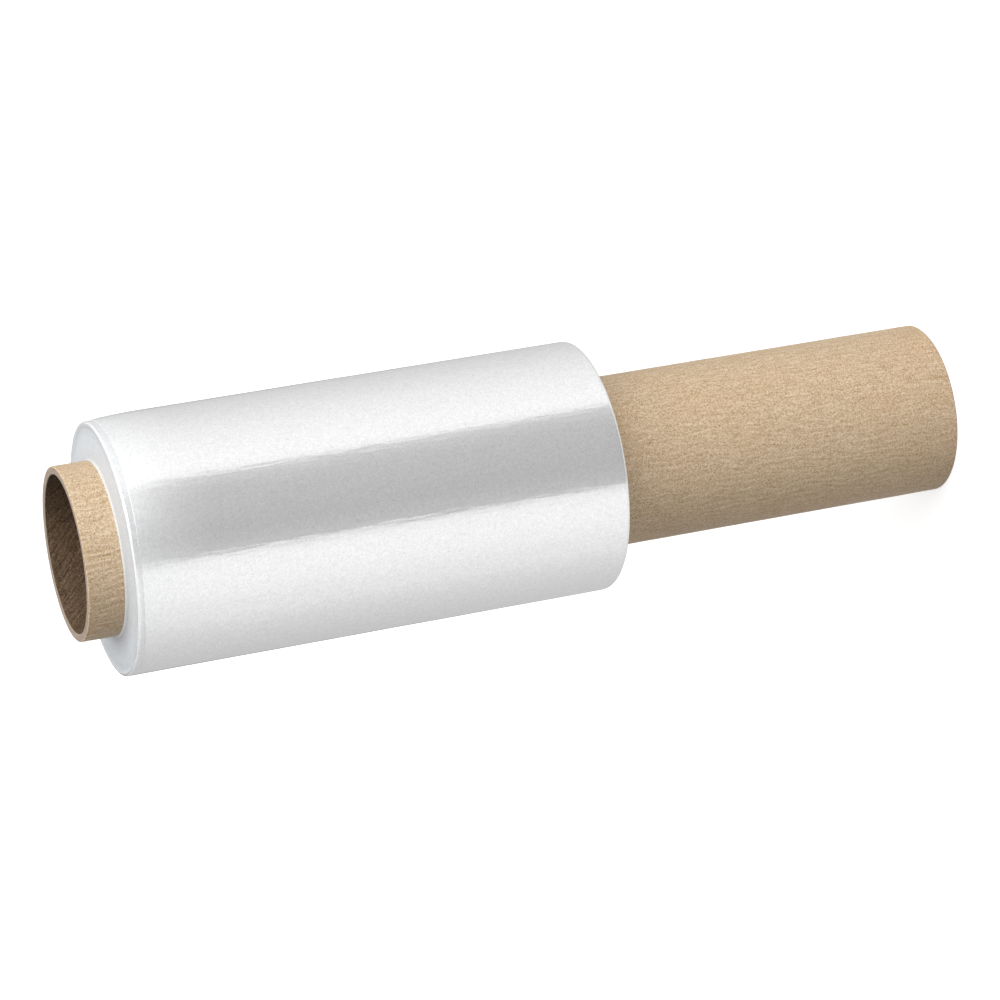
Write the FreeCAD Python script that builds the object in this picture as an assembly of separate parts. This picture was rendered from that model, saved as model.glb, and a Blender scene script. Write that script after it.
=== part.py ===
import FreeCAD, Part
import os

# A hand roll of stretch wrap: white film wound on a long cardboard core. Sizes are in millimetres.
# The roll stands upright on the cut end of its handle, at Z = 0, and its axis is the Z axis.
# Going up, there is the bare handle, then the winding, then the short bare stub.

# Driving dimensions of the core
bore_diameter = 50.0
core_wall = 2.5
handle_length = 120.0
stub_length = 12.0
cut_edge_break = 0.25

# Driving dimensions of the winding
film_width = 160.0
winding_build = 13.0
last_wraps_build = 0.9
last_wraps_setback = 2.6
turn_groups = 6
stub_end_groove = 0.6
handle_end_dish = 0.6
inner_turns_edge = 0.7
last_wraps_edge = 0.8
handle_end_round = 1.5

# An edge takes at most this share of the narrowest wall beside it
edge_limit = 0.8

# Radii and heights worked out from them
bore_radius = bore_diameter / 2
core_radius = bore_radius + core_wall
winding_radius = core_radius + winding_build
inner_turns_radius = winding_radius - last_wraps_build
winding_bottom = handle_length
winding_top = winding_bottom + film_width
last_wraps_top = winding_top - last_wraps_setback
core_length = winding_top + stub_length

# Two circles nearer than this are the same one
same_place = 0.001


def turned(corners):
    """The solid that a closed section, through corners of (radius, height), makes in one turn about Z."""
    points = [FreeCAD.Vector(radius, 0, height) for radius, height in corners]
    section = Part.Face(Part.makePolygon(points + points[:1]))
    return section.revolve(FreeCAD.Vector(0, 0, 0), FreeCAD.Vector(0, 0, 1), 360)


def rings(solid, radius, height):
    """The solid's circular edges of that radius, at that height."""
    circles = [edge for edge in solid.Edges if isinstance(edge.Curve, Part.Circle)]
    level = [edge for edge in circles if abs(edge.Curve.Center.z - height) < same_place]
    return [edge for edge in level if abs(edge.Curve.Radius - radius) < same_place]


def even_levels(first, last, count):
    """Heights at equal steps from the first to the last."""
    return [first + (last - first) * number / (count - 1) for number in range(count)]


def turn_ends(inner_radius, outer_radius, levels):
    """Corners of a wound end, from its inner radius to its outer one.

    The turns drift along the core as they are wound, so each group of them ends flat, at a level of
    its own.
    """
    group_build = (outer_radius - inner_radius) / len(levels)
    corners = []
    for group, level in enumerate(levels):
        near = inner_radius + group * group_build
        corners += [(near, level), (near + group_build, level)]
    return corners


def core_tube():
    """The spiral-wound cardboard tube, cut square at both ends, with its sharp edges broken."""
    tube = turned([
        (bore_radius, 0),
        (core_radius, 0),
        (core_radius, core_length),
        (bore_radius, core_length),
    ])
    cut_edges = []
    for radius in (bore_radius, core_radius):
        for height in (0, core_length):
            cut_edges += rings(tube, radius, height)
    return tube.makeChamfer(min(cut_edge_break, edge_limit * core_wall / 2), cut_edges)


def film_winding():
    """All the turns of film, tight on the core.

    The stub's end sinks from the core to a shallow groove inside its rim, and the rim stands out
    past the last wraps. The handle's end is dished, and the last wraps close over its corner in a
    larger round.
    """
    inside_rim = even_levels(winding_top, winding_top - stub_end_groove, turn_groups - 1)
    stub_end = turn_ends(core_radius, inner_turns_radius, inside_rim + [winding_top])
    last_wraps = [(inner_turns_radius, last_wraps_top), (winding_radius, last_wraps_top)]
    handle_end = turn_ends(
        core_radius, winding_radius,
        even_levels(winding_bottom + handle_end_dish, winding_bottom, turn_groups))
    winding = turned(stub_end + last_wraps + handle_end[::-1])

    inner_group = (inner_turns_radius - core_radius) / turn_groups
    winding = winding.makeChamfer(
        min(inner_turns_edge, edge_limit * min(inner_group, last_wraps_setback)),
        rings(winding, inner_turns_radius, winding_top))
    winding = winding.makeChamfer(
        min(last_wraps_edge, edge_limit * last_wraps_build),
        rings(winding, winding_radius, last_wraps_top))
    return winding.makeFillet(
        min(handle_end_round, edge_limit * winding_build / turn_groups),
        rings(winding, winding_radius, winding_bottom))


os.makedirs("parts", exist_ok=True)
for name, shape in {"core_tube": core_tube(), "film_winding": film_winding()}.items():
    shape.exportStep("parts/" + name + ".step")
    print(name, "valid", shape.isValid(), "volume cm3", round(shape.Volume / 1000, 2))
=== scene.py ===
import logging
import math
from dataclasses import dataclass, field
from enum import Enum

import bpy
import numpy as np
from mathutils import Matrix, Vector


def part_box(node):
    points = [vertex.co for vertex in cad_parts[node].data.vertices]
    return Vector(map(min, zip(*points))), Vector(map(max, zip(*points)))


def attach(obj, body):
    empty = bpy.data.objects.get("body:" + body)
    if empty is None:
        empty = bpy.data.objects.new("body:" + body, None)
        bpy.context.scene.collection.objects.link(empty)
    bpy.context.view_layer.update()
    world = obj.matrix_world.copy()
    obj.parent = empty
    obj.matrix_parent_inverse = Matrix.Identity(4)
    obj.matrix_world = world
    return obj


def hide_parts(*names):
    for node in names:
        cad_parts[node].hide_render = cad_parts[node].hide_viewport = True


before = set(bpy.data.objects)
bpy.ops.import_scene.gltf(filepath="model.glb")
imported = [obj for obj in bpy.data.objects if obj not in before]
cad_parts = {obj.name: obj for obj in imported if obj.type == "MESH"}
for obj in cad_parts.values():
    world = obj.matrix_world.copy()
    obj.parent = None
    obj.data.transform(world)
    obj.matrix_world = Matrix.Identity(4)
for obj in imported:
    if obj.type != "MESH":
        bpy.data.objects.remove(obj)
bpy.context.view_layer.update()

MM = 0.001
LOG = logging.getLogger("stretch_wrap_roll")

Array = np.ndarray
Colour = tuple[float, float, float]
Socket = bpy.types.NodeSocket

WHITE: Colour = (1.0, 1.0, 1.0)
PAPER_RELIEF = 0.8


class Zone(Enum):
    """A stretch of a piece's section, by the finish that it wears. The value is its material slot."""

    OUTSIDE = 0
    CUT_END = 1
    INSIDE = 2


class WoundEnd(Enum):
    """Which end of the winding a height belongs to. The value is the way that the end faces."""

    STUB_SIDE = 1
    HANDLE_SIDE = -1


def tube_noise(seed: int, turn: Array, rise: Array, around: int, along: int) -> Array:
    """Smooth noise on the wall of a tube, from -1 to 1.

    Random values stand on a grid of cells that closes round the tube. Each point blends the four
    values nearest to it, with the weight 3 s^2 - 2 s^3 of its place s in the cell.

    Args:
        seed: the draw that the random values come from.
        turn: how far round the tube each point lies, in whole turns.
        rise: how far up the tube each point lies, from 0 to 1.
        around: the number of cells round the tube.
        along: the number of cells up the tube.

    Returns:
        The noise at each point.
    """
    grid = np.random.default_rng(seed).uniform(-1.0, 1.0, (around, along + 2))
    across, up = turn * around, np.clip(rise, 0.0, 1.0) * along
    column, row = np.floor(across).astype(int), np.floor(up).astype(int)
    s, t = across - column, up - row
    s, t = s * s * (3.0 - 2.0 * s), t * t * (3.0 - 2.0 * t)
    here, beside = column % around, (column + 1) % around
    low = grid[here, row] * (1.0 - s) + grid[beside, row] * s
    high = grid[here, row + 1] * (1.0 - s) + grid[beside, row + 1] * s
    return low * (1.0 - t) + high * t


def layered_noise(
    seed: int, turn: Array, rise: Array, layers: tuple[tuple[float, int, int], ...]
) -> Array:
    """The sum of several tube noises, each with its share and its cells round and along the tube."""
    return sum(
        share * tube_noise(seed + layer, turn, rise, around, along)
        for layer, (share, around, along) in enumerate(layers))


def ramp(value: Array, start: float, end: float) -> Array:
    """0 up to the start, 1 from the end on, and even between the two."""
    return np.clip((value - start) / (end - start), 0.0, 1.0)


def quarter_round(
    radius: float, height: float, size: float, start: float, steps: int
) -> tuple[Array, Array]:
    """A quarter of a circle in the section, at equal angles, turning to the left.

    Args:
        radius: the centre's distance from the axis.
        height: the centre's height.
        size: the quarter circle's own radius.
        start: the angle that it starts at, in degrees from the outward direction.
        steps: the number of points, both ends included.

    Returns:
        The points' radii and heights.
    """
    angle = np.radians(np.linspace(start, start + 90.0, steps))
    return radius + size * np.cos(angle), height + size * np.sin(angle)


@dataclass
class Section:
    """A closed section in the half plane beside the axis, gathered stretch by stretch.

    The stretches run up the outside, inwards over the top, down the inside and outwards below, so
    that the faces of the turned surface point outwards.
    """

    radii: list[Array] = field(default_factory=list)
    heights: list[Array] = field(default_factory=list)
    zones: list[Array] = field(default_factory=list)

    def add(self, radius: Array | float, height: Array | float, zone: Zone) -> None:
        """Adds a stretch of points.

        Args:
            radius: the points' distance from the axis, or one value for all.
            height: the points' height, or one value for all.
            zone: what the surface wears from each of these points to the next.
        """
        radius, height = np.broadcast_arrays(np.atleast_1d(radius), np.atleast_1d(height))
        self.radii.append(radius.astype(float))
        self.heights.append(height.astype(float))
        self.zones.append(np.full(radius.shape, zone.value))

    def arrays(self) -> tuple[Array, Array, Array]:
        """The section's radii, heights and zones, each as one array."""
        return tuple(np.concatenate(part) for part in (self.radii, self.heights, self.zones))


def linked(name: str, data: bpy.types.ID) -> bpy.types.Object:
    """A new object of the given data, linked to the scene."""
    thing = bpy.data.objects.new(name, data)
    bpy.context.scene.collection.objects.link(thing)
    return thing


def turned_mesh(
    name: str, radius: Array, height: Array, zones: Array, marks: dict[str, Array]
) -> bpy.types.Object:
    """A closed surface turned about the Z axis from a grid of radii and heights.

    The point in row i and column j is (r cos a, r sin a, h), where r and h are its radius and
    height, and a is 2 pi j over the number of columns. Rows and columns both close on themselves.

    Args:
        name: the piece's name.
        radius: the radii, one row for each point of the section.
        height: the heights, in the same order.
        zones: the material slot from each row to the next.
        marks: values that the finishes read, as named attributes of the points.

    Returns:
        The piece, linked to the scene, with a UV map of turn and height in metres.
    """
    rows, columns = radius.shape
    angle = 2.0 * math.pi * np.arange(columns) / columns
    points = np.stack([radius * np.cos(angle), radius * np.sin(angle), height], axis=-1)
    row, column = np.meshgrid(np.arange(rows), np.arange(columns), indexing="ij")
    on, beside = (row + 1) % rows, (column + 1) % columns
    corners = np.stack(
        [row * columns + column, row * columns + beside, on * columns + beside, on * columns + column],
        axis=-1,
    ).reshape(-1, 4)

    mesh = bpy.data.meshes.new(name)
    mesh.vertices.add(rows * columns)
    mesh.vertices.foreach_set("co", points.astype(np.float32).ravel())
    mesh.loops.add(corners.size)
    mesh.loops.foreach_set("vertex_index", corners.astype(np.int32).ravel())
    mesh.polygons.add(len(corners))
    mesh.polygons.foreach_set("loop_start", np.arange(0, corners.size, 4, dtype=np.int32))
    mesh.polygons.foreach_set("material_index", np.repeat(zones, columns).astype(np.int32))
    mesh.update(calc_edges=True)

    turn = np.stack([column, column + 1, column + 1, column], axis=-1) / columns
    level = np.stack([height, height[row, beside], height[on, beside], height[on, column]], axis=-1)
    unrolled = mesh.uv_layers.new(name="unrolled")
    unrolled.uv.foreach_set("vector", np.stack([turn, level], axis=-1).astype(np.float32).ravel())
    for mark, values in marks.items():
        attribute = mesh.attributes.new(mark, "FLOAT", "POINT")
        attribute.data.foreach_set("value", values.astype(np.float32).ravel())

    mesh.validate()
    mesh.shade_smooth()
    return linked(name, mesh)


class NodeSheet:
    """A node tree that is being filled, with short calls for its nodes and links."""

    def __init__(self, tree: bpy.types.NodeTree) -> None:
        """Takes the tree to fill."""
        self.tree = tree

    def add(self, kind: str, inputs: dict | None = None, **settings) -> bpy.types.Node:
        """Adds a node.

        Args:
            kind: the node's type, as Blender names it.
            inputs: sockets by name or number, each with a value or the output that feeds it.
            settings: the node's own properties.

        Returns:
            The node.
        """
        node = self.tree.nodes.new(kind)
        for setting, value in settings.items():
            setattr(node, setting, value)
        for socket, value in (inputs or {}).items():
            self.feed(node.inputs[socket], value)
        return node

    def feed(self, socket: Socket, value: object) -> None:
        """Links an output to a socket, or sets the socket to a plain value or an opaque colour."""
        if isinstance(value, Socket):
            self.tree.links.new(value, socket)
        elif socket.type == "RGBA":
            socket.default_value = (*value, 1.0)
        else:
            socket.default_value = value

    def mark(self, name: str) -> Socket:
        """The value of one of the mesh's named attributes."""
        return self.add("ShaderNodeAttribute", attribute_name=name).outputs["Fac"]

    def rays(self) -> tuple[Socket, Socket]:
        """Whether the light's path comes from the camera, and whether from a gloss or a clear piece."""
        path = self.add("ShaderNodeLightPath")
        kinds = path.outputs["Is Glossy Ray"], path.outputs["Is Transmission Ray"]
        return path.outputs["Is Camera Ray"], self.math("MAXIMUM", *kinds)

    def glow(self, strength: object) -> Socket:
        """White light of the given strength."""
        inputs = {"Color": WHITE, "Strength": strength}
        return self.add("ShaderNodeEmission", inputs).outputs[0]

    def scaled(self, vector: Socket, per_m: float, stretch: float = 1.0) -> Socket:
        """The vector times `per_m`, and along the roll's axis times `stretch` as well."""
        inputs = {"Vector": vector, "Scale": (per_m, per_m, per_m * stretch)}
        return self.add("ShaderNodeMapping", inputs).outputs[0]

    def noise(self, vector: Socket, scale: float = 1.0, detail: float = 2.0) -> Socket:
        """Cloudy noise from 0 to 1, with `scale` features to the unit."""
        inputs = {"Vector": vector, "Scale": scale, "Detail": detail}
        return self.add("ShaderNodeTexNoise", inputs).outputs[0]

    def ranged(
        self, value: Socket, low: float, high: float, to_low: float = 0.0, to_high: float = 1.0
    ) -> Socket:
        """The value, moved from one range to another and held inside it."""
        inputs = {
            "Value": value, "From Min": low, "From Max": high, "To Min": to_low, "To Max": to_high,
        }
        return self.add("ShaderNodeMapRange", inputs).outputs[0]

    def math(self, operation: str, first: object, second: object = 0.0) -> Socket:
        """The result of a sum, product or other operation on two values."""
        return self.add("ShaderNodeMath", {0: first, 1: second}, operation=operation).outputs[0]

    def sum_of(self, *parts: tuple[Socket, object]) -> Socket:
        """The sum of two or more values, each times its weight."""
        first, *rest = (self.math("MULTIPLY", value, weight) for value, weight in parts)
        for part in rest:
            first = self.math("ADD", first, part)
        return first

    def relief(self, shader: bpy.types.Node, rise: Socket, depth: float, strength: float) -> None:
        """Gives a shader a fine relief: a height from 0 to 1, its depth in metres and its strength."""
        inputs = {"Height": rise, "Distance": depth, "Strength": strength}
        self.feed(shader.inputs["Normal"], self.add("ShaderNodeBump", inputs).outputs[0])

    def dimmed(self, colour: Socket, factor: Socket) -> Socket:
        """The colour times a factor."""
        inputs = {0: colour, "Scale": factor}
        return self.add("ShaderNodeVectorMath", inputs, operation="SCALE").outputs[0]

    def specked(self, colour: Socket, fibres: bpy.types.Node, depth: float) -> Socket:
        """The colour, lighter or darker from speck to speck, by a share up to the depth."""
        factor = self.ranged(fibres.outputs["Speck"], 0.0, 1.0, 1.0 - depth, 1.0 + depth)
        return self.dimmed(colour, factor)

    def mixed(self, share: object, first: object, second: object) -> Socket:
        """The first colour, turned into the second as far as the share says."""
        node = self.add("ShaderNodeMix", {0: share}, data_type="RGBA")
        colours = [socket for socket in node.inputs if socket.type == "RGBA"]
        self.feed(colours[0], first)
        self.feed(colours[1], second)
        return next(socket for socket in node.outputs if socket.type == "RGBA")


class SharedEffects:
    """The shader node groups that several finishes use, each built once."""

    def __init__(self) -> None:
        """Builds the groups."""
        self.fibres = self._fibres()
        self.clouding = self._clouding()

    @staticmethod
    def _group(
        name: str, value: str, outputs: tuple[str, ...]
    ) -> tuple[NodeSheet, Socket, Socket, bpy.types.Node]:
        """An empty group that reads coordinates and one value.

        Args:
            name: the group's name.
            value: the name of the value that it reads.
            outputs: the names of its outputs, all plain values.

        Returns:
            A sheet to fill the group with, its coordinates, its value, and its output node.
        """
        tree = bpy.data.node_groups.new(name, "ShaderNodeTree")
        tree.interface.new_socket("Vector", in_out="INPUT", socket_type="NodeSocketVector")
        tree.interface.new_socket(value, in_out="INPUT", socket_type="NodeSocketFloat")
        for label in outputs:
            tree.interface.new_socket(label, in_out="OUTPUT", socket_type="NodeSocketFloat")
        sheet = NodeSheet(tree)
        given = sheet.add("NodeGroupInput").outputs
        return sheet, given[0], given[1], sheet.add("NodeGroupOutput")

    def _fibres(self) -> bpy.types.NodeTree:
        """Short paper fibres and flecks as a tone and a relief, and specks, one value to a cell."""
        sheet, where, flecks, leave = self._group("fibres", "Flecks", ("Tone", "Relief", "Speck"))
        fine = sheet.noise(where, detail=4.0)
        tone = sheet.sum_of((fine, 0.8), (sheet.noise(where, 0.31, 3.0), 0.2))
        fleck = sheet.ranged(sheet.noise(where, 0.55, 1.0), 0.62, 0.74)
        dark = sheet.math("MULTIPLY", fleck, flecks)
        sheet.feed(leave.inputs["Tone"], sheet.math("SUBTRACT", tone, dark))
        sheet.feed(leave.inputs["Relief"], fine)
        cells = sheet.add("ShaderNodeTexVoronoi", {"Vector": where, "Scale": 1.1})
        split = sheet.add("ShaderNodeSeparateColor", {0: cells.outputs["Color"]})
        sheet.feed(leave.inputs["Speck"], split.outputs[0])
        return sheet.tree

    def _clouding(self) -> bpy.types.NodeTree:
        """Soft uneven patches of two sizes, from 0 to 1, as on wound film and rubbed paper."""
        sheet, where, share, leave = self._group("clouding", "Fine Share", ("Mask",))
        rest = sheet.math("SUBTRACT", 1.0, share)
        mask = sheet.sum_of((sheet.noise(where), rest), (sheet.noise(where, 4.3), share))
        sheet.feed(leave.inputs["Mask"], mask)
        return sheet.tree

    @staticmethod
    def put(
        sheet: NodeSheet, tree: bpy.types.NodeTree, place: Socket, per_m: float, value: float,
        stretch: float = 1.0,
    ) -> bpy.types.Node:
        """Puts a group into a material.

        Args:
            sheet: the material's sheet.
            tree: the group.
            place: the object coordinates.
            per_m: how many of the group's features go into a metre.
            value: the value that the group reads.
            stretch: what the coordinate along the roll's axis is multiplied by as well.

        Returns:
            The group's node.
        """
        inputs = {0: sheet.scaled(place, per_m, stretch), 1: value}
        return sheet.add("ShaderNodeGroup", inputs, node_tree=tree)


def new_material(name: str) -> tuple[bpy.types.Material, NodeSheet, bpy.types.Node, Socket]:
    """A material with one Principled shader.

    Args:
        name: the material's name.

    Returns:
        The material, a sheet to fill it with, its shader, and the object coordinates.
    """
    material = bpy.data.materials.new(name)
    material.use_nodes = True
    sheet = NodeSheet(material.node_tree)
    shader = material.node_tree.nodes["Principled BSDF"]
    place = sheet.add("ShaderNodeTexCoord").outputs["Object"]
    return material, sheet, shader, place


@dataclass(frozen=True)
class CrepePaper:
    """The creped kraft paper round the outside of the core."""

    colour: Colour = (0.680, 0.498, 0.308)
    # valley and crest are painted shade and painted highlight on the creases; crest also tints the light
    # fibres and specks.
    valley: Colour = (0.47, 0.310, 0.165)
    crest: Colour = (0.88, 0.738, 0.552)
    fleck: Colour = (0.33, 0.185, 0.085)
    warm: Colour = (0.69, 0.44, 0.245)
    roughness: float = 0.55
    specular: float = 0.16
    fine_creases_per_m: float = 1900.0
    fine_crease_stretch: float = 0.09
    fibres_per_m: float = 3500.0
    fibre_stretch: float = 0.80
    dark_specks: float = 0.55
    light_specks: float = 0.55
    patches_per_m: float = 60.0
    flatness: float = 0.52
    painted_crease_shading: float = 0.85
    light_fibres: float = 0.35
    dark_fibres: float = 0.30
    patch_depth: float = 0.30
    relief: float = 0.20 * MM

    def material(self, effects: SharedEffects) -> bpy.types.Material:
        """Tan paper with painted shade in its crease valleys and painted highlight on their crests, with
        fibres, flecks and a fine relief.
        """
        material, sheet, shader, place = new_material("crepe_paper")
        crease = sheet.mark("crease")
        drift = sheet.mark("drift")
        followed = sheet.add(
            "ShaderNodeVectorRotate", {"Vector": place, "Angle": drift}, rotation_type="Z_AXIS").outputs[0]
        creases = sheet.scaled(followed, self.fine_creases_per_m, self.fine_crease_stretch)
        fine = sheet.noise(creases)
        fibres = effects.put(
            sheet, effects.fibres, place, self.fibres_per_m, 0.0, self.fibre_stretch)
        patches = effects.put(sheet, effects.clouding, place, self.patches_per_m, 0.2)

        # Painted shade and highlight: the fine creases' colour follows the noise that also raises their
        # relief.
        shade = sheet.mixed(sheet.ranged(fine, 0.30, 0.70), self.valley, self.crest)
        colour = sheet.mixed(self.flatness, shade, self.colour)
        grain, speck = fibres.outputs["Tone"], fibres.outputs["Speck"]
        # The crease mark paints shade into the valleys and highlight onto the crests; fibres, patches and
        # specks are the paper's own tones.
        for value, start, end, share, tint in (
            (crease, 0.5, 0.0, self.painted_crease_shading, self.valley),
            (crease, 0.5, 1.0, self.painted_crease_shading, self.crest),
            (grain, 0.50, 0.66, self.light_fibres, self.crest),
            (grain, 0.50, 0.34, self.dark_fibres, self.fleck),
            (patches.outputs["Mask"], 0.48, 0.70, self.patch_depth, self.warm),
            (speck, 0.5, 1.0, self.light_specks, self.crest),
            (speck, 0.5, 0.0, self.dark_specks, self.fleck),
        ):
            colour = sheet.mixed(sheet.ranged(value, start, end, 0.0, share), colour, tint)
        sheet.feed(shader.inputs["Base Color"], colour)
        shader.inputs["Roughness"].default_value = self.roughness
        shader.inputs["Specular IOR Level"].default_value = self.specular
        sheet.relief(shader, sheet.sum_of((fine, 0.6), (grain, 0.6)), self.relief, PAPER_RELIEF)
        return material


@dataclass(frozen=True)
class CutBoard:
    """The board's cut end, where its wound plies show as rings."""

    colour: Colour = (0.355, 0.292, 0.240)
    glue_line: Colour = (0.27, 0.20, 0.15)
    roughness: float = 0.9
    fibres_per_m: float = 3500.0
    relief: float = 0.10 * MM

    def material(self, effects: SharedEffects) -> bpy.types.Material:
        """Greyish board with thin dark lines of glue between its plies."""
        material, sheet, shader, place = new_material("cut_board")
        fibres = effects.put(sheet, effects.fibres, place, self.fibres_per_m, 0.3)
        grain = sheet.ranged(fibres.outputs["Tone"], 0.2, 0.8, 0.0, 0.45)
        board = sheet.mixed(grain, self.colour, self.glue_line)
        glued = sheet.ranged(sheet.mark("ply_line"), 0.0, 1.0, 0.0, 0.8)
        sheet.feed(shader.inputs["Base Color"], sheet.mixed(glued, board, self.glue_line))
        shader.inputs["Roughness"].default_value = self.roughness
        sheet.relief(shader, fibres.outputs["Relief"], self.relief, PAPER_RELIEF)
        return material


@dataclass(frozen=True)
class InnerBoard:
    """The plain brown board inside the tube, with the slanting grain of its spiral winding."""

    colour: Colour = (0.235, 0.158, 0.098)
    dark: Colour = (0.076, 0.047, 0.028)
    light: Colour = (0.42, 0.315, 0.215)
    roughness: float = 0.9
    specular: float = 0.1
    bore_radius: float = 25.0 * MM
    grain_per_m: float = 1150.0
    grain_stretch: float = 0.20
    slant_per_m: float = 40.0
    fibres_per_m: float = 2100.0
    speck_depth: float = 0.20
    seam_turns_per_m: float = 4.3
    seam_width: float = 0.010
    relief: float = 0.35 * MM

    def material(self, effects: SharedEffects) -> bpy.types.Material:
        """Dark brown board with slanting grain, scattered fibres and the joint of its spiral."""
        material, sheet, shader, place = new_material("inner_board")
        unrolled = sheet.add("ShaderNodeUVMap", uv_map="unrolled").outputs[0]
        split = sheet.add("ShaderNodeSeparateXYZ", {0: unrolled})
        turn, height = split.outputs[0], split.outputs[1]
        angle = sheet.math("MULTIPLY", turn, 2.0 * math.pi)
        slant = sheet.math("SUBTRACT", angle, sheet.math("MULTIPLY", height, self.slant_per_m))
        reach = self.bore_radius * self.grain_per_m
        slanted = sheet.add(
            "ShaderNodeCombineXYZ",
            {0: sheet.math("MULTIPLY", sheet.math("COSINE", slant), reach),
             1: sheet.math("MULTIPLY", sheet.math("SINE", slant), reach),
             2: sheet.math("MULTIPLY", height, self.grain_per_m * self.grain_stretch)})
        grain = sheet.noise(slanted.outputs[0])
        fibres = effects.put(sheet, effects.fibres, place, self.fibres_per_m, 0.0)
        woven = sheet.sum_of((grain, 0.45), (fibres.outputs["Tone"], 0.55))
        shade = sheet.mixed(sheet.ranged(woven, 0.38, 0.62), self.dark, self.colour)
        pale = sheet.ranged(fibres.outputs["Relief"], 0.60, 0.74, 0.0, 0.6)
        flecked = sheet.mixed(pale, shade, self.light)
        wound = sheet.math("ADD", turn, sheet.math("MULTIPLY", height, self.seam_turns_per_m))
        seam = sheet.math("LESS_THAN", sheet.math("FRACT", wound), self.seam_width)
        colour = sheet.mixed(sheet.math("MULTIPLY", seam, 0.6), flecked, self.dark)
        sheet.feed(shader.inputs["Base Color"], sheet.specked(colour, fibres, self.speck_depth))
        shader.inputs["Roughness"].default_value = self.roughness
        shader.inputs["Specular IOR Level"].default_value = self.specular
        sheet.relief(shader, sheet.math("SUBTRACT", woven, seam), self.relief, PAPER_RELIEF)
        return material


@dataclass(frozen=True)
class WoundFilm:
    """Film wound tight: its many clear layers look milky, with a silvery gloss along the turns."""

    side: Colour = (0.86, 0.865, 0.86)
    end: Colour = (0.615, 0.646, 0.677)
    rim: Colour = (0.92, 0.926, 0.93)
    # The ring colour gives rings of turns their random darker tone, and is painted shade over the groove
    # inside the stub's rim.
    ring: Colour = (0.47, 0.49, 0.52)
    side_gloss: float = 0.52
    end_gloss: float = 0.05
    rim_gloss: float = 0.32
    side_roughness: float = 0.12
    end_roughness: float = 0.45
    rim_roughness: float = 0.24
    coat: float = 0.20
    coat_roughness: float = 0.12
    clouds_per_m: float = 90.0
    mottle_per_m: float = 620.0
    grain_per_m: float = 1900.0
    streaks_per_m: float = 900.0
    streak_stretch: float = 0.10
    specks_per_m: float = 2500.0
    speck_depth: float = 0.055
    ring_tone_and_shade_depth: float = 0.70
    mottle_tones: tuple[float, float] = (0.93, 1.065)
    patchiness: float = 0.03
    relief: float = 0.075 * MM
    relief_strength: float = 0.6

    def material(self, effects: SharedEffects) -> bpy.types.Material:
        """Milky film: silvery on the side, paler and duller near the rim, satin and bluish on its ends."""
        material, sheet, shader, place = new_material("wound_film")
        ends, rim, ring = sheet.mark("end_finish_and_painted_light"), sheet.mark("rim"), sheet.mark("ring_tone_and_groove_shade")
        clouds = effects.put(sheet, effects.clouding, place, self.clouds_per_m, 0.45)
        mottle = effects.put(sheet, effects.clouding, place, self.mottle_per_m, 0.3)
        fibres = effects.put(sheet, effects.fibres, place, self.specks_per_m, 0.0)
        grain = sheet.noise(sheet.scaled(place, self.grain_per_m), detail=1.0)
        streak = sheet.noise(sheet.scaled(place, self.streaks_per_m, self.streak_stretch))

        # Darker rings of turns at random, and painted shade over the groove inside the stub's rim.
        shade = sheet.math("MULTIPLY", sheet.ranged(ring, 0.0, 2.0, 0.0, self.ring_tone_and_shade_depth), ends)
        colour = sheet.mixed(rim, self.side, self.rim)
        colour = sheet.mixed(ends, colour, self.end)
        colour = sheet.mixed(shade, colour, self.ring)
        mixture = sheet.sum_of((grain, 0.6), (mottle.outputs["Mask"], 0.4))
        mottled = sheet.ranged(mixture, 0.35, 0.65, *self.mottle_tones)
        colour = sheet.specked(sheet.dimmed(colour, mottled), fibres, self.speck_depth)
        sheet.feed(shader.inputs["Base Color"], colour)

        side = sheet.math("SUBTRACT", 1.0, ends)
        gloss, rough = (
            sheet.sum_of((sheet.ranged(rim, 0.0, 1.0, on_side, on_rim), side), (ends, on_end))
            for on_side, on_rim, on_end in (
                (self.side_gloss, self.rim_gloss, self.end_gloss),
                (self.side_roughness, self.rim_roughness, self.end_roughness),
            )
        )
        patchy = sheet.ranged(clouds.outputs["Mask"], 0.3, 0.7, -self.patchiness, self.patchiness)
        sheet.feed(shader.inputs["Metallic"], gloss)
        sheet.feed(shader.inputs["Roughness"], sheet.math("ADD", rough, patchy))
        sheet.feed(shader.inputs["Coat Weight"], sheet.math("MULTIPLY", side, self.coat))
        shader.inputs["Coat Roughness"].default_value = self.coat_roughness
        rise = sheet.sum_of((mottle.outputs["Mask"], 0.5), (streak, 1.0), (grain, 0.10))
        sheet.relief(shader, rise, self.relief, self.relief_strength)
        return material


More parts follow.
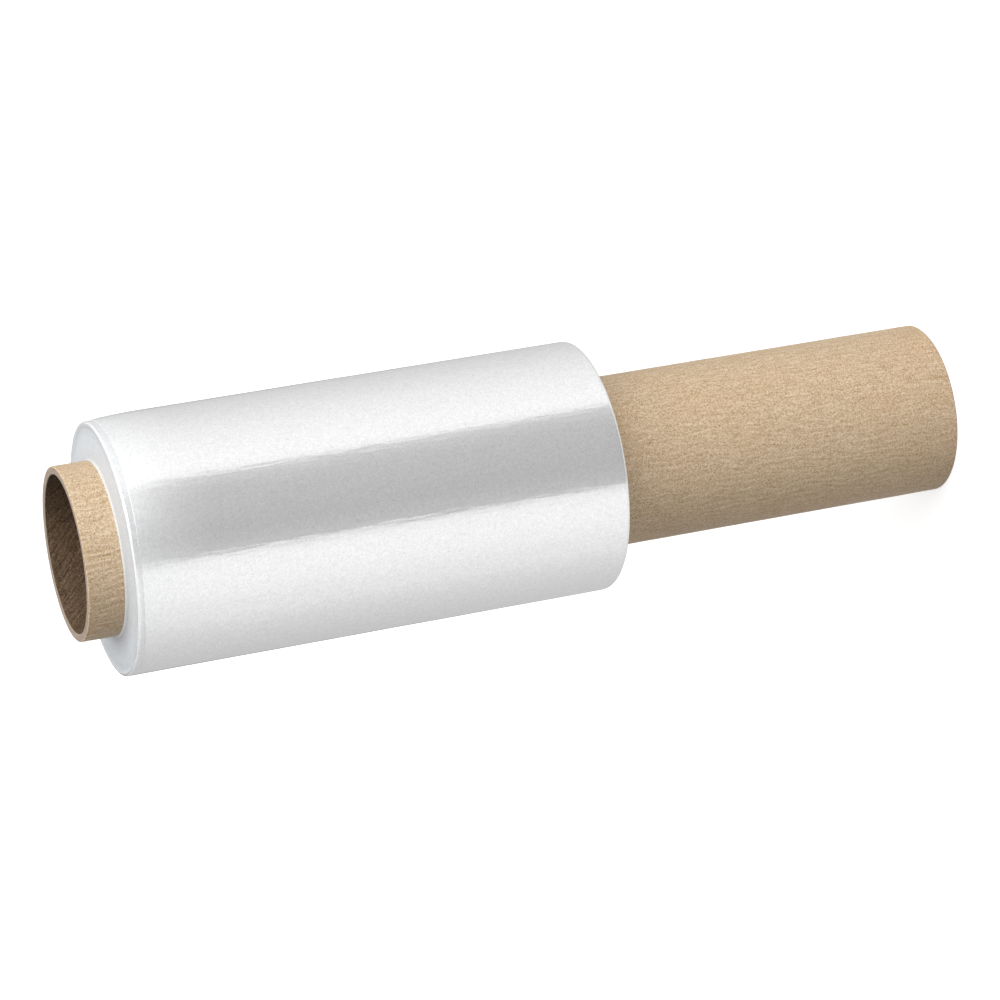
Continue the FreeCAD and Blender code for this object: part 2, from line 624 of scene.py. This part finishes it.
@dataclass
class CoreTube:
    """The spiral-wound cardboard tube with its creped paper outside."""

    node: str = "core_tube"
    wall: float = 2.5 * MM
    edge_break: float = 0.25 * MM
    columns: int = 660
    row_pitch: float = 1.5 * MM
    hold: float = 0.25 * MM
    hidden_under_film: float = 6.0 * MM
    crease_pitch: float = 2.4 * MM
    crease_length: float = 6.5 * MM
    crest_share: float = 0.30
    crease_depth: float = 0.12 * MM
    crease_wander: float = 1.0 * MM
    wander_width: float = 6.0 * MM
    wander_length: float = 4.5 * MM
    crease_slant: float = 0.055
    crease_sets: tuple[tuple[float, float], ...] = ((1.0, 1.0), (0.6, 0.58))
    crease_bend: float = 0.45
    valley_depth: float = 0.4
    fade_middle: float = 0.55
    fade_reach: float = 0.9
    foot_strength: float = 0.58
    gained_strength: float = 0.57
    patchiness: float = 0.3
    plies: int = 6
    ply_rows: int = 3
    inside_rows: int = 8
    end_relief: float = 0.07 * MM
    ply_share: float = 0.6
    sharp_deg: float = 40.0
    seed: int = 17

    def __post_init__(self) -> None:
        """Reads the tube's size and the winding's place from the frame."""
        low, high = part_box(self.node)
        film_low, film_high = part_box("film_winding")
        self.length = high.z - low.z
        self.radius = (high.x - low.x) / 2.0
        self.bore_radius = self.radius - self.wall
        self.girth = 2.0 * math.pi * self.radius
        self.film_from, self.film_to = film_low.z, film_high.z

    def _outside_heights(self) -> Array:
        """Heights up the outside: closely spaced where it is bare, none under the film."""
        bare = []
        spans = (
            (self.edge_break, self.film_from + self.hidden_under_film),
            (self.film_to - self.hidden_under_film, self.length - self.edge_break),
        )
        for low, high in spans:
            bare.append(np.linspace(low, high, round((high - low) / self.row_pitch) + 1))
        held = [self.edge_break + self.hold, self.length - self.edge_break - self.hold]
        return np.sort(np.concatenate(bare + [held]))

    def _drift(self, turn: Array, height: Array) -> Array:
        """How far the creases lie aside at each point, in whole turns.

        A slow noise makes them wander, and k z (z / length)^2 makes them slant more and more
        towards the stub.
        """
        rise = height / self.length
        across, up = round(self.girth / self.wander_width), round(self.length / self.wander_length)
        wander = self.crease_wander * tube_noise(self.seed, turn, rise, across, up)
        return (self.crease_slant * height * rise ** 2 + wander) / self.girth

    def _creases(self, turn: Array, height: Array) -> Array:
        """The crepe's creases, from -1 in a valley to 1 on a crest.

        Sets of creases run along the tube, each with its own share and pitch, and read aside by the
        drift. With d the distance from a crest in pitches, a set is f (max(0, 1 - d / w) - v), where
        f is a noise that lets each crease fade in and out. They grow deeper towards the stub, as
        (z / length)^3.
        """
        rise = height / self.length
        aside = turn + self._drift(turn, height)
        along = round(self.length / self.crease_length)
        creases = np.zeros_like(turn)
        for step, (share, pitch) in enumerate(self.crease_sets):
            around = round(self.girth / (pitch * self.crease_pitch))
            bend = self.crease_bend * tube_noise(self.seed + 11 + step, turn, rise, around // 2, along)
            away = np.abs((aside * around + bend + 0.5) % 1.0 - 0.5)
            fade = tube_noise(self.seed + 1 + step, aside, rise, around, along)
            fade = np.clip(self.fade_middle + self.fade_reach * fade, 0.0, 1.0)
            crest = np.clip(1.0 - away / self.crest_share, 0.0, 1.0)
            creases += share * fade * (crest - self.valley_depth)
        patchy = 1.0 + self.patchiness * tube_noise(self.seed + 3, turn, rise, 20, 30)
        strength = (self.foot_strength + self.gained_strength * rise ** 3) * patchy
        return np.clip(strength * creases, -1.0, 1.0)

    def _end_rows(self) -> tuple[Array, Array]:
        """How deep each row of a cut end lies in the wall, from the outside, and its ply line."""
        rows = self.plies * self.ply_rows
        depth = np.linspace(self.edge_break, self.wall - self.edge_break, rows + 1)
        line = np.zeros(rows + 1)
        line[self.ply_rows:-1:self.ply_rows] = 1.0
        return depth, line

    def build(self) -> bpy.types.Object:
        """Builds the tube.

        Returns:
            The tube as one closed piece, outside, cut ends and inside.
        """
        section = Section()
        outside = self._outside_heights()
        depth, line = self._end_rows()
        section.add(self.radius, outside, Zone.OUTSIDE)
        section.add(self.radius - depth, self.length, Zone.CUT_END)
        inside = np.linspace(self.length - self.edge_break, self.edge_break, self.inside_rows)
        section.add(self.bore_radius, inside, Zone.INSIDE)
        section.add(self.radius - depth[::-1], 0.0, Zone.CUT_END)
        radius, height, zones = section.arrays()

        turn = np.arange(self.columns) / self.columns
        radius, height, turn = np.broadcast_arrays(radius[:, None], height[:, None], turn[None, :])
        crease = self._creases(turn, height)
        on_outside = (zones == Zone.OUTSIDE.value)[:, None]
        radius = radius + on_outside * self.crease_depth * crease

        on_end = zones == Zone.CUT_END.value
        ply_line = np.zeros(len(zones))
        ply_line[on_end] = np.concatenate([line, line[::-1]])
        uneven = tube_noise(self.seed + 5, turn, radius / self.radius, 90, 40)
        sunk = self.ply_share * ply_line[:, None] + (1.0 - self.ply_share) * (0.5 + 0.5 * uneven)
        inwards = np.where(height > self.length / 2.0, -1.0, 1.0)
        height = height + on_end[:, None] * inwards * self.end_relief * sunk

        marks = {
            "crease": 0.5 + 0.5 * crease,
            "drift": 2.0 * math.pi * self._drift(turn, height),
            "ply_line": np.repeat(ply_line[:, None], self.columns, axis=1),
        }
        return turned_mesh("cardboard_core", radius, height, zones, marks)

    def dress(self, piece: bpy.types.Object, effects: SharedEffects) -> None:
        """Gives the tube its finishes and ties it to the frame.

        Args:
            piece: the built tube.
            effects: the shared node groups.
        """
        for finish in (CrepePaper(), CutBoard(), InnerBoard()):
            piece.data.materials.append(finish.material(effects))
        piece.data.set_sharp_from_angle(angle=math.radians(self.sharp_deg))
        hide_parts(self.node)
        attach(piece, "root")


@dataclass
class FilmWinding:
    """All the turns of film: two wound ends, a stepped rim on the stub's side, and the side."""

    node: str = "film_winding"
    core_radius: float = 27.4 * MM
    last_wraps_build: float = 0.28 * MM
    last_wraps_setback: float = 2.6 * MM
    last_wraps_round: float = 0.22 * MM
    edge_dullness: float = 0.6
    wall_shade_and_dullness: float = 0.25
    lip_painted_highlight: float = 0.8
    haze_length: float = 26.0 * MM
    haze_power: float = 1.5
    flush_share: float = 0.85
    flush_swell: tuple[float, float] = (180.0, 60.0)
    inner_turns_round: float = 0.75 * MM
    handle_end_round: float = 1.5 * MM
    stub_end_groove: float = 0.50 * MM
    groove_place: float = 0.86
    groove_shade: float = 1.6 * MM
    lip_rise: float = 0.60 * MM
    lip_width: float = 0.45 * MM
    handle_end_dish: float = 0.6 * MM
    dish_power: float = 1.3
    columns: int = 440
    side_rows: int = 66
    end_rows: int = 54
    round_rows: int = 9
    hold: float = 0.12 * MM
    ring_relief: float = 0.03 * MM
    ring_contrast: float = 0.8
    ring_group: int = 5
    side_relief: float = 0.035 * MM
    lump_layers: tuple[tuple[float, int, int], ...] = ((1.0, 22, 12), (0.5, 48, 22))
    rim_wobble: float = 0.14 * MM
    wobble_layers: tuple[tuple[float, int, int], ...] = ((1.0, 9, 2), (0.4, 37, 2))
    crinkle: float = 0.13 * MM
    crinkle_reach: float = 2.2 * MM
    crinkle_swell: tuple[float, float] = (-140.0, 34.0)
    taper_build: float = 0.65 * MM
    taper_length: float = 17.0 * MM
    taper_azimuth_deg: float = 0.0
    advance: float = 0.95 * MM
    advance_swell: tuple[float, float] = (-118.0, 34.0)
    sharp_deg: float = 60.0
    seed: int = 41

    def __post_init__(self) -> None:
        """Reads the winding's size and place from the frame."""
        low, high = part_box(self.node)
        self.low, self.high = low.z, high.z
        self.radius = (high.x - low.x) / 2.0
        self.inner_turns_radius = self.radius - self.last_wraps_build
        self.last_wraps_top = self.high - self.last_wraps_setback

    def _end(self, which: WoundEnd, radius: Array, outer: float) -> Array:
        """Heights of a wound end at the given radii.

        With s the share of the way out from the core, the handle's end is dished by
        d (1 - s^p), and the stub's end sinks by d (s / g)^2 to a groove at s = g and rises again
        by 3 q^2 - 2 q^3 over what is left, q. On that lie rings, each row of points drawn a little
        in or out. The first turns stand up against the core beside the stub, as _lip gives.

        Args:
            which: the end.
            radius: the radii.
            outer: the radius where the end's edge begins.

        Returns:
            The heights.
        """
        share = ramp(radius, self.core_radius, outer)
        draw = np.random.default_rng(self.seed + which.value)
        rings = draw.uniform(-1.0, 0.2, radius.shape) * self.ring_relief
        window = np.full(self.ring_group, 1.0 / self.ring_group)
        groups = np.convolve(draw.uniform(-1.0, 1.0, radius.shape), window, mode="same")
        fade = np.sin(math.pi * np.clip(share, 0.02, 0.98)) ** 0.5
        relief = fade * (rings + 2.0 * self.ring_relief * (groups - 0.4))
        if which is WoundEnd.HANDLE_SIDE:
            sunk, level = self.handle_end_dish * (1.0 - share ** self.dish_power), self.low
        else:
            up, down = ramp(share, self.groove_place, 1.0), ramp(share, 0.0, self.groove_place) ** 2
            sunk, level = self.stub_end_groove * (down - up * up * (3.0 - 2.0 * up)), self.high
            sunk = sunk - self.lip_rise * self._lip(radius)
        return level + which.value * (relief - sunk)

    def _lip(self, radius: Array) -> Array:
        """How much the first turns stand up beside the core: exp(-(x / w)^2), x from the core."""
        return np.exp(-(((radius - self.core_radius) / self.lip_width) ** 2))

    def build(self) -> bpy.types.Object:
        """Builds the winding.

        Three marks go with its points: how much each wears the finish of a wound end and that of
        the rim, and how dark the ring of turns is, at random and with painted shade over the groove
        inside the stub's rim. The wound end's mark also paints a highlight on the first turns beside
        the core, where they wear the side's paler finish, and painted shade on the wall between the
        last wraps and the rim. The rim's finish comes in over the haze's length, and both fade on the
        side where the step all but ends.

        Returns:
            The winding as one closed piece.
        """
        section = Section()
        side_low = self.low + self.handle_end_round
        side_high = self.last_wraps_top - self.last_wraps_round
        side = np.linspace(side_low, side_high, self.side_rows)[1:-1]
        side = np.concatenate([[side_low, side_low + self.hold], side, [side_high - self.hold]])
        section.add(self.radius, side, Zone.OUTSIDE)
        edge_radius = self.radius - self.last_wraps_round
        section.add(
            *quarter_round(edge_radius, side_high, self.last_wraps_round, 0.0, self.round_rows),
            Zone.OUTSIDE)
        section.add(self.inner_turns_radius, self.last_wraps_top, Zone.OUTSIDE)
        rim_low = self.high - self.inner_turns_round
        steps = np.linspace(self.last_wraps_top, rim_low, 5)[1:-1]
        section.add(self.inner_turns_radius, np.append(steps, rim_low - self.hold), Zone.OUTSIDE)
        rim_radius = self.inner_turns_radius - self.inner_turns_round
        section.add(
            *quarter_round(rim_radius, rim_low, self.inner_turns_round, 0.0, self.round_rows),
            Zone.OUTSIDE)
        inwards = np.linspace(rim_radius, self.core_radius, self.end_rows)[1:]
        section.add(inwards, self._end(WoundEnd.STUB_SIDE, inwards, rim_radius), Zone.CUT_END)
        foot_radius = self.radius - self.handle_end_round
        outwards = np.linspace(self.core_radius, foot_radius, self.end_rows)[:-1]
        section.add(outwards, self._end(WoundEnd.HANDLE_SIDE, outwards, foot_radius), Zone.CUT_END)
        section.add(
            *quarter_round(foot_radius, side_low, self.handle_end_round, -90.0, self.round_rows + 3),
            Zone.OUTSIDE)
        radius, height, zones = section.arrays()

        on_end = zones == Zone.CUT_END.value
        stub_side = height > (self.low + self.high) / 2.0
        # Painted highlight: the first turns beside the core on the stub's end take the side's paler,
        # glossier finish in place of the end's.
        end_finish_and_painted_light = on_end * (1.0 - self.lip_painted_highlight * stub_side * self._lip(radius))
        haze_from = self.last_wraps_top - self.haze_length
        rim = ramp(height, haze_from, self.last_wraps_top) ** self.haze_power
        ring = np.zeros(len(zones))
        draw = np.random.default_rng(self.seed)
        ring[on_end] = draw.uniform(0.0, self.ring_contrast, int(on_end.sum()))
        # Painted shade: the rings over the groove inside the rim on the stub's end darken more.
        groove = self.core_radius + self.groove_place * (rim_radius - self.core_radius)
        ring = ring + on_end * stub_side * np.exp(-(((radius - groove) / self.groove_shade) ** 2))
        last_edge = (height > side_high) & (height <= self.last_wraps_top) & ~on_end
        end_finish_and_painted_light = np.where(last_edge, self.edge_dullness, end_finish_and_painted_light)
        # Painted shade: the wall between the last wraps and the rim takes part of the wound end's darker,
        # bluish colour, along with part of its duller gloss.
        wall = (height > self.last_wraps_top) & (height < rim_low) & ~on_end
        end_finish_and_painted_light = np.where(wall, self.wall_shade_and_dullness, end_finish_and_painted_light)
        turn = (np.arange(self.columns) / self.columns)[None, :]
        radius, height, turn = np.broadcast_arrays(radius[:, None], height[:, None], turn)
        level = self._swell(360.0 * turn, self.flush_swell)
        apart = np.where(on_end[:, None], 1.0, 1.0 - level)
        radius, height = self._uneven(turn, radius, height)
        marks = {
            "end_finish_and_painted_light": apart * end_finish_and_painted_light[:, None],
            "rim": apart * rim[:, None],
            "ring_tone_and_groove_shade": np.repeat(ring[:, None], self.columns, axis=1),
        }
        return turned_mesh("wound_film_roll", radius, height, np.zeros(len(zones)), marks)

    def _uneven(self, turn: Array, radius: Array, height: Array) -> tuple[Array, Array]:
        """Adds what a real winding has: a lumpy side, a rim that wobbles and uneven last wraps.

        Towards the stub the winding tapers by b s^2 (1 + cos(a - a0)) / 2, most on one side. The
        last wraps' edge comes forward by c exp(-((a - a1) / w)^2), and is crinkled round a2. The
        inner turns come out nearly level with it round a3, where the step all but ends.

        Args:
            turn: each point's place round the roll, in whole turns.
            radius: the points' radii.
            height: the points' heights.

        Returns:
            The radii and heights with the unevenness in them.
        """
        rise = (height - self.low) / (self.high - self.low)
        lumps = layered_noise(self.seed + 3, turn, rise, self.lump_layers)
        hills = 0.6 * tube_noise(self.seed + 5, 0.0 * turn, rise, 4, 9)
        on_side = ramp(radius, self.inner_turns_radius, self.radius)
        radius = radius - on_side * self.side_relief * (1.0 + 0.5 * (lumps + hills))
        angle = 360.0 * turn
        outer_band = ramp(radius, 0.85 * self.radius, 0.95 * self.radius)
        above = ramp(height, self.last_wraps_top - self.last_wraps_round, self.last_wraps_top)
        level = self.flush_share * self._swell(angle, self.flush_swell)
        short = np.clip(self.radius - radius, 0.0, self.last_wraps_build)
        radius = radius + above * outer_band * level * short
        share = ramp(height, self.last_wraps_top - self.taper_length, self.last_wraps_top)
        side = 0.5 + 0.5 * np.cos(np.radians(angle - self.taper_azimuth_deg))
        radius = radius - outer_band * self.taper_build * share ** 2 * side
        forward = self.advance * self._swell(angle, self.advance_swell)
        height = height + on_side * share ** 2 * forward
        crumpled = self._swell(angle, self.crinkle_swell)
        edge_near = np.exp(-(((height - self.last_wraps_top) / self.crinkle_reach) ** 2)) * outer_band
        folds = tube_noise(self.seed + 8, turn, rise, 120, 160)
        radius = radius - self.crinkle * crumpled * edge_near * (0.5 + 0.5 * folds)
        near_rim = ramp(height, self.high - 3.0 * self.last_wraps_setback, self.high)
        outer = ramp(radius, 0.8 * self.radius, self.radius)
        wobble = layered_noise(self.seed + 6, turn, 0.0 * rise, self.wobble_layers)
        height = height - near_rim * outer * self.rim_wobble * (0.6 + 0.4 * wobble)
        return radius, height

    @staticmethod
    def _swell(angle: Array, swell: tuple[float, float]) -> Array:
        """exp(-(x / w)^2), x the angle from the swell's middle to each angle, w its width, in degrees."""
        middle, width = swell
        apart = (angle - middle + 180.0) % 360.0 - 180.0
        return np.exp(-((apart / width) ** 2))

    def dress(self, piece: bpy.types.Object, effects: SharedEffects) -> None:
        """Gives the winding its finish and ties it to the frame.

        Args:
            piece: the built winding.
            effects: the shared node groups.
        """
        piece.data.materials.append(WoundFilm().material(effects))
        piece.data.set_sharp_from_angle(angle=math.radians(self.sharp_deg))
        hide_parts(self.node)
        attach(piece, "root")


def bare_material(name: str) -> tuple[bpy.types.Material, NodeSheet, Socket]:
    """A material with nothing in it.

    Args:
        name: the material's name.

    Returns:
        The material, a sheet to fill it with, and the socket that takes its shader.
    """
    material = bpy.data.materials.new(name)
    material.use_nodes = True
    material.node_tree.nodes.clear()
    sheet = NodeSheet(material.node_tree)
    return material, sheet, sheet.add("ShaderNodeOutputMaterial").inputs["Surface"]


def plain_object(name: str, points: list, faces: list, material: bpy.types.Material) -> bpy.types.Object:
    """An object of the given points and faces, in one material, linked to the scene."""
    mesh = bpy.data.meshes.new(name)
    mesh.from_pydata(points, [], faces)
    mesh.materials.append(material)
    return linked(name, mesh)


@dataclass(frozen=True)
class SoftBox:
    """A square soft light that faces the middle of the roll, and may show in its gloss."""

    name: str
    azimuth_deg: float
    elevation_deg: float
    distance: float
    side: float
    watts: float
    in_gloss: bool = False


@dataclass
class Studio:
    """The pale floor, the soft lights, the dark cards that shape the gloss, and the camera."""

    middle_height: float = 0.155
    floor_side: float = 8.0
    floor_colour: Colour = (0.58, 0.58, 0.58)
    floor_glow: float = 0.66
    glow_near: float = 0.35
    glow_far: float = 1.0
    ambient: float = 0.19
    card_near: float = 0.10
    card_far: float = 2.2
    card_height: float = 1.6
    card_lift: float = 1.0 * MM
    card_columns: int = 360
    canopy_tone: float = 0.80
    card_tones: tuple[tuple[float, float], ...] = (
        (-180.0, 1.08), (-169.0, 1.20), (-160.0, 1.20), (-152.0, 1.28), (-137.0, 1.32),
        (-125.0, 1.28), (-119.0, 1.22), (-112.8, 1.03), (-110.8, 0.40), (-92.0, 0.22),
        (-58.0, 0.24), (-43.4, 0.42), (-40.0, 1.06), (-30.0, 1.12), (0.0, 0.94), (20.0, 0.78),
        (36.0, 0.67), (70.0, 0.58), (80.0, 0.20), (100.0, 0.20), (108.0, 0.64), (136.0, 0.80),
        (150.0, 0.88), (168.0, 0.98),
    )
    boxes: tuple[SoftBox, ...] = (
        SoftBox("key_light", -54.0, 27.0, 1.6, 1.4, 18.0, in_gloss=True),
        SoftBox("top_light", 20.0, 72.0, 1.6, 1.4, 8.6),
        SoftBox("fill_light", -60.0, 74.0, 1.6, 1.4, 12.0),
        SoftBox("back_light", 84.0, 30.0, 1.0, 0.9, 2.0),
    )
    camera_place: tuple[float, float, float] = (-0.00638, -1.16814, 0.52946)
    camera_down_deg: float = 17.994
    camera_roll_deg: float = -99.844
    camera_lens: float = 138.26
    camera_sensor: float = 36.0

    def floor(self) -> None:
        """A pale floor that shows white to the camera and keeps the roll's soft shadow.

        Its own glow is lower near the roll, where the lamps light it, than far away.
        """
        material, sheet, surface = bare_material("pale_floor")
        from_camera, mirrored = sheet.rays()
        place = sheet.add("ShaderNodeTexCoord").outputs["Object"]
        away = sheet.add("ShaderNodeVectorMath", {0: place}, operation="LENGTH").outputs["Value"]
        glow = sheet.ranged(away, self.glow_near, self.glow_far, self.floor_glow, 1.0)
        lit = sheet.add("ShaderNodeBsdfDiffuse", {"Color": self.floor_colour}).outputs[0]
        seen = sheet.glow(sheet.math("MULTIPLY", from_camera, glow))
        shaded = sheet.add("ShaderNodeAddShader", {0: lit, 1: seen}).outputs[0]
        mix = sheet.add("ShaderNodeMixShader", {0: mirrored, 1: shaded, 2: sheet.glow(1.0)})
        sheet.feed(surface, mix.outputs[0])
        half = self.floor_side / 2.0
        corners = [(-half, -half, 0.0), (half, -half, 0.0), (half, half, 0.0), (-half, half, 0.0)]
        floor = plain_object("floor", corners, [(0, 1, 2, 3)], material)

    def world(self) -> None:
        """White to the camera and in reflections, and a soft even light for everything else."""
        world = bpy.data.worlds.new("studio")
        bpy.context.scene.world = world
        world.use_nodes = True
        sheet = NodeSheet(world.node_tree)
        shown = sheet.math("MAXIMUM", *sheet.rays())
        background = world.node_tree.nodes["Background"]
        sheet.feed(background.inputs["Color"], WHITE)
        sheet.feed(background.inputs["Strength"], sheet.ranged(shown, 0.0, 1.0, self.ambient, 1.0))

    def cards(self) -> None:
        """A ring of pale and dark cards round the roll, seen only in its gloss.

        The ring lies on the floor from near the roll to far, turns up into a wall, and closes over
        the top as a plain canopy. Its point at angle a and reach r is (r cos a, r sin a, z), and its
        tone runs evenly from one named angle to the next.
        """
        angle_deg = np.linspace(-180.0, 180.0, self.card_columns, endpoint=False)
        named, tones = np.array(self.card_tones).T
        tone = np.interp(angle_deg, named, tones, period=360.0)
        angle = np.radians(angle_deg)[:, None]
        reach = np.array([1.0, 1.0, 1.0, 0.99, 0.01]) * self.card_far
        reach[0] = self.card_near
        level = np.array([self.card_lift, self.card_lift] + 3 * [self.card_height])
        overhead = np.array([False, False, False, True, True])
        tone = np.where(overhead, self.canopy_tone, tone[:, None])
        points = np.stack([reach * np.cos(angle), reach * np.sin(angle), level + 0.0 * angle], axis=-1)
        rings = len(reach)
        row, column = np.meshgrid(np.arange(self.card_columns), np.arange(rings - 1), indexing="ij")
        here, beside = rings * row + column, rings * ((row + 1) % self.card_columns) + column
        faces = np.stack([here, beside, beside + 1, here + 1], axis=-1).reshape(-1, 4)

        material, sheet, surface = bare_material("card")
        sheet.feed(surface, sheet.glow(sheet.mark("tone")))
        material.cycles.emission_sampling = "NONE"
        ring = plain_object("cards", points.reshape(-1, 3).tolist(), faces.tolist(), material)
        attribute = ring.data.attributes.new("tone", "FLOAT", "POINT")
        attribute.data.foreach_set("value", tone.ravel().astype(np.float32))
        ring.visible_camera = ring.visible_diffuse = ring.visible_shadow = False
        ring.visible_transmission = ring.visible_volume_scatter = False

    def lights(self) -> None:
        """Large soft boxes round the roll, hidden from the camera."""
        middle = Vector((0.0, 0.0, self.middle_height))
        for box in self.boxes:
            azimuth, elevation = math.radians(box.azimuth_deg), math.radians(box.elevation_deg)
            way = Vector((
                math.cos(azimuth) * math.cos(elevation),
                math.sin(azimuth) * math.cos(elevation),
                math.sin(elevation)))
            light = bpy.data.lights.new(box.name, "AREA")
            light.shape = "SQUARE"
            light.size = box.side
            light.energy = box.watts
            lamp = linked(box.name, light)
            lamp.matrix_world = Matrix.Translation(middle + way * box.distance) @ way.to_track_quat(
                "Z", "Y").to_matrix().to_4x4()
            lamp.visible_camera = False
            lamp.visible_glossy = box.in_gloss

    def camera(self) -> None:
        """The camera at the photograph's viewing angle, rolled so that the roll lies across the picture."""
        lens = bpy.data.cameras.new("camera")
        lens.lens = self.camera_lens
        lens.sensor_width = self.camera_sensor
        camera = linked("camera", lens)
        tilt = Matrix.Rotation(math.radians(90.0 - self.camera_down_deg), 4, "X")
        roll = Matrix.Rotation(math.radians(self.camera_roll_deg), 4, "Z")
        camera.matrix_world = Matrix.Translation(self.camera_place) @ tilt @ roll
        bpy.context.scene.camera = camera

    def set_up(self) -> None:
        """Builds the whole studio."""
        self.floor()
        self.world()
        self.cards()
        self.lights()
        self.camera()
        bpy.context.scene.view_settings.view_transform = "Standard"


def main() -> None:
    """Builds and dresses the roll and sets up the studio."""
    logging.basicConfig(level=logging.INFO, format="%(name)s: %(message)s")
    Studio().set_up()
    effects = SharedEffects()
    for part in (CoreTube(), FilmWinding()):
        piece = part.build()
        part.dress(piece, effects)
        LOG.info("%s: %d faces", piece.name, len(piece.data.polygons))


if __name__ == "__main__":
    main()
